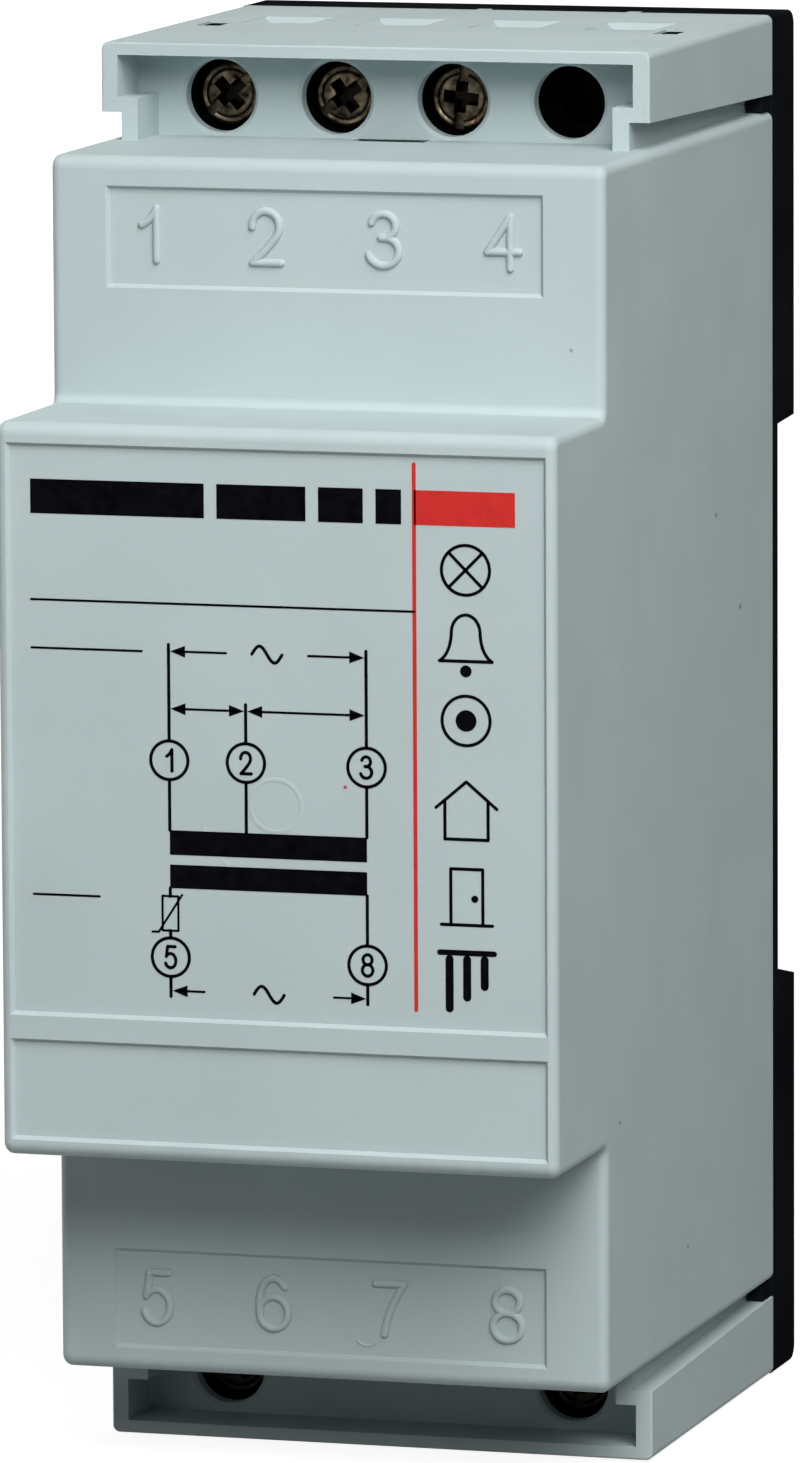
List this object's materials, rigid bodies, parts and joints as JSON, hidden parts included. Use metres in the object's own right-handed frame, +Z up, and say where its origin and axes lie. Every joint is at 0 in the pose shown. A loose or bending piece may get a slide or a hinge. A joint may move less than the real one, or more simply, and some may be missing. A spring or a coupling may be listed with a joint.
{
  "type": "doorbell transformer",
  "caption": "Rail-mounted bell transformer: stepped grey hood with sunk label field, recessed screw terminals at both ends and a black base with a sprung rail latch.",
  "frame": {"origin": "middle of the rail seat, on the plane where the rail's flanges bear", "axes": "X across the width, -Y out of the front, +Z up along the terminals' row to row direction"},
  "size_m": [0.0352, 0.0562, 0.0876],
  "materials": {
    "hood_plastic": "fine matt moulded texture",
    "black_plastic": "matt black moulding",
    "carrier_plastic": "matt black moulding",
    "former_plastic": "natural glass-filled moulding",
    "lamination_steel": "varnished electrical sheet",
    "enamelled_copper": "enamelled copper wire",
    "tape_film": "polyester tape",
    "thermistor_lacquer": "lacquered ceramic",
    "lead_sleeve": "soft insulation",
    "screw_steel": "bronze-tinted plated steel",
    "cage_steel": "zinc-plated steel",
    "contact_brass": "tinned brass",
    "spring_steel": "drawn spring wire"
  },
  "bodies": {
    "housing": {"hood": "hood_plastic", "base": "black_plastic", "latch_spring": "spring_steel", "terminal_carrier_top": "carrier_plastic", "terminal_carrier_bottom": "carrier_plastic", "core_e_stack": "lamination_steel", "core_i_stack": "lamination_steel", "coil_former": "former_plastic", "primary_winding": "enamelled_copper", "secondary_winding": "enamelled_copper", "primary_tape": "tape_film", "secondary_tape": "tape_film", "thermistor": "thermistor_lacquer", "lead_1": "lead_sleeve", "lead_2": "lead_sleeve", "lead_3": "lead_sleeve", "lead_8": "lead_sleeve", "contact_bar_1": "contact_brass", "contact_bar_2": "contact_brass", "contact_bar_3": "contact_brass", "contact_bar_5": "contact_brass", "contact_bar_8": "contact_brass"},
    "latch": {"rail_latch": "black_plastic"},
    "screw_1": {"terminal_screw_1": "screw_steel"},
    "cage_1": {"clamp_cage_1": "cage_steel"},
    "screw_2": {"terminal_screw_2": "screw_steel"},
    "cage_2": {"clamp_cage_2": "cage_steel"},
    "screw_3": {"terminal_screw_3": "screw_steel"},
    "cage_3": {"clamp_cage_3": "cage_steel"},
    "screw_5": {"terminal_screw_5": "screw_steel"},
    "cage_5": {"clamp_cage_5": "cage_steel"},
    "screw_8": {"terminal_screw_8": "screw_steel"},
    "cage_8": {"clamp_cage_8": "cage_steel"}
  },
  "joints": [
    {"name": "latch_slide", "type": "slide", "parent": "housing", "child": "latch", "axis": [0, 0, -1], "range_m": [0, 0.0026], "stiffness_N_per_m": 1500, "springref_m": -0.003, "deforming": ["latch_spring"]},
    {"name": "screw_turn_1", "type": "hinge", "parent": "housing", "child": "screw_1", "pos_m": [-0.01125, -0.02, 0.0402], "axis": [0, 1, 0], "range_deg": [0, 1920]},
    {"name": "cage_rise_1", "type": "slide", "parent": "housing", "child": "cage_1", "axis": [0, -1, 0], "range_m": [0, 0.0032]},
    {"name": "screw_turn_2", "type": "hinge", "parent": "housing", "child": "screw_2", "pos_m": [-0.00375, -0.02, 0.0402], "axis": [0, 1, 0], "range_deg": [0, 1920]},
    {"name": "cage_rise_2", "type": "slide", "parent": "housing", "child": "cage_2", "axis": [0, -1, 0], "range_m": [0, 0.0032]},
    {"name": "screw_turn_3", "type": "hinge", "parent": "housing", "child": "screw_3", "pos_m": [0.00375, -0.02, 0.0402], "axis": [0, 1, 0], "range_deg": [0, 1920]},
    {"name": "cage_rise_3", "type": "slide", "parent": "housing", "child": "cage_3", "axis": [0, -1, 0], "range_m": [0, 0.0032]},
    {"name": "screw_turn_5", "type": "hinge", "parent": "housing", "child": "screw_5", "pos_m": [-0.01125, -0.02, -0.0402], "axis": [0, 1, 0], "range_deg": [0, 1920]},
    {"name": "cage_rise_5", "type": "slide", "parent": "housing", "child": "cage_5", "axis": [0, -1, 0], "range_m": [0, 0.0032]},
    {"name": "screw_turn_8", "type": "hinge", "parent": "housing", "child": "screw_8", "pos_m": [0.01125, -0.02, -0.0402], "axis": [0, 1, 0], "range_deg": [0, 1920]},
    {"name": "cage_rise_8", "type": "slide", "parent": "housing", "child": "cage_8", "axis": [0, -1, 0], "range_m": [0, 0.0032]}
  ],
  "couplings": [
    {"joint": "screw_turn_1", "follows": "cage_rise_1", "rad_per_m": 10472},
    {"joint": "screw_turn_2", "follows": "cage_rise_2", "rad_per_m": 10472},
    {"joint": "screw_turn_3", "follows": "cage_rise_3", "rad_per_m": 10472},
    {"joint": "screw_turn_5", "follows": "cage_rise_5", "rad_per_m": 10472},
    {"joint": "screw_turn_8", "follows": "cage_rise_8", "rad_per_m": 10472}
  ]
}
